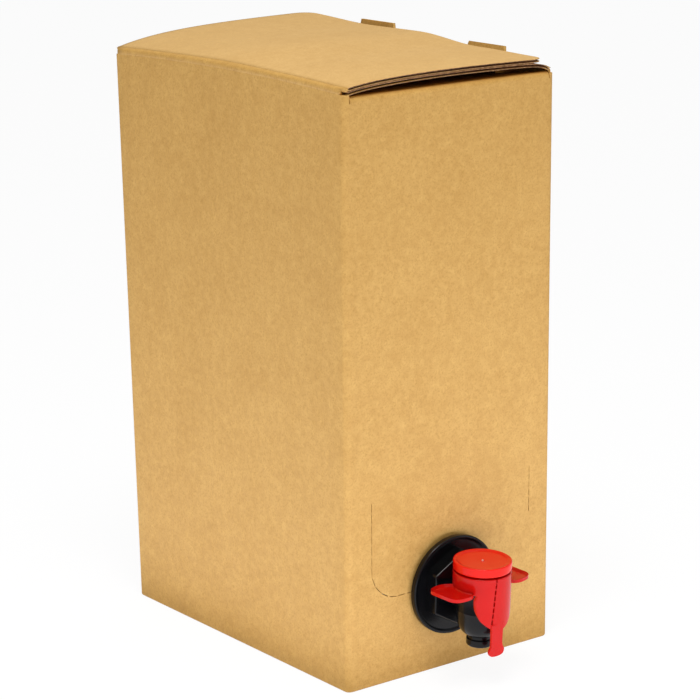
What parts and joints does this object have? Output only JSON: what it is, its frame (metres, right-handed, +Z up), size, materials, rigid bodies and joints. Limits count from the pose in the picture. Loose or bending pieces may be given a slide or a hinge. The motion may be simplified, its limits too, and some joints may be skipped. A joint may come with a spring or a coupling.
{
  "type": "bag in box carton",
  "caption": "kraft fluted-board carton with a tuck-in lid, holding a sealed liquid bag, with a push-button tap on its front",
  "frame": {"origin": "centre of the carton's bottom face", "axes": "+Z up; the tap is on the front, towards -Y; +X to the right as seen facing the tap"},
  "size_m": [0.1228, 0.22, 0.2866],
  "materials": {
    "kraft_board": "uncoated kraft liner over fine flutes",
    "kraft_lid": "uncoated kraft liner over fine flutes",
    "bag_film": "laminated barrier film",
    "natural_plastic": "unpigmented moulded plastic",
    "black_plastic": "satin moulded plastic",
    "red_plastic": "satin moulded plastic",
    "red_pad": "satin moulded plastic",
    "elastic_dome": "soft elastic moulding",
    "white_plastic": "moulded plastic",
    "seal_rubber": "moulded rubber"
  },
  "bodies": {
    "carton": {"carton": "kraft_board", "bag": "bag_film", "spout": "natural_plastic"},
    "lid": {"lid": "kraft_lid"},
    "tap": {"tap_body": "black_plastic", "grip_cap": "red_plastic", "diaphragm": "elastic_dome"},
    "button": {"push_button": "red_pad", "valve_stem": "white_plastic", "valve_seal": "seal_rubber"}
  },
  "joints": [
    {"name": "lid_hinge", "type": "hinge", "parent": "carton", "child": "lid", "pos_m": [-0.0604, 0, 0.2809], "axis": [0, -1, 0], "range_deg": [0, 200]},
    {"name": "tap_swivel", "type": "hinge", "parent": "carton", "child": "tap", "pos_m": [-0.001, -0.08921, 0.0412], "axis": [0, -0.9981, -0.061], "range_deg": [-180, 180]},
    {"name": "button_press", "type": "slide", "parent": "tap", "child": "button", "axis": [0, 0.061, -0.9981], "range_m": [0, 0.0008], "stiffness_N_per_m": 2000, "springref_m": -0.001, "deforming": ["diaphragm"]}
  ]
}
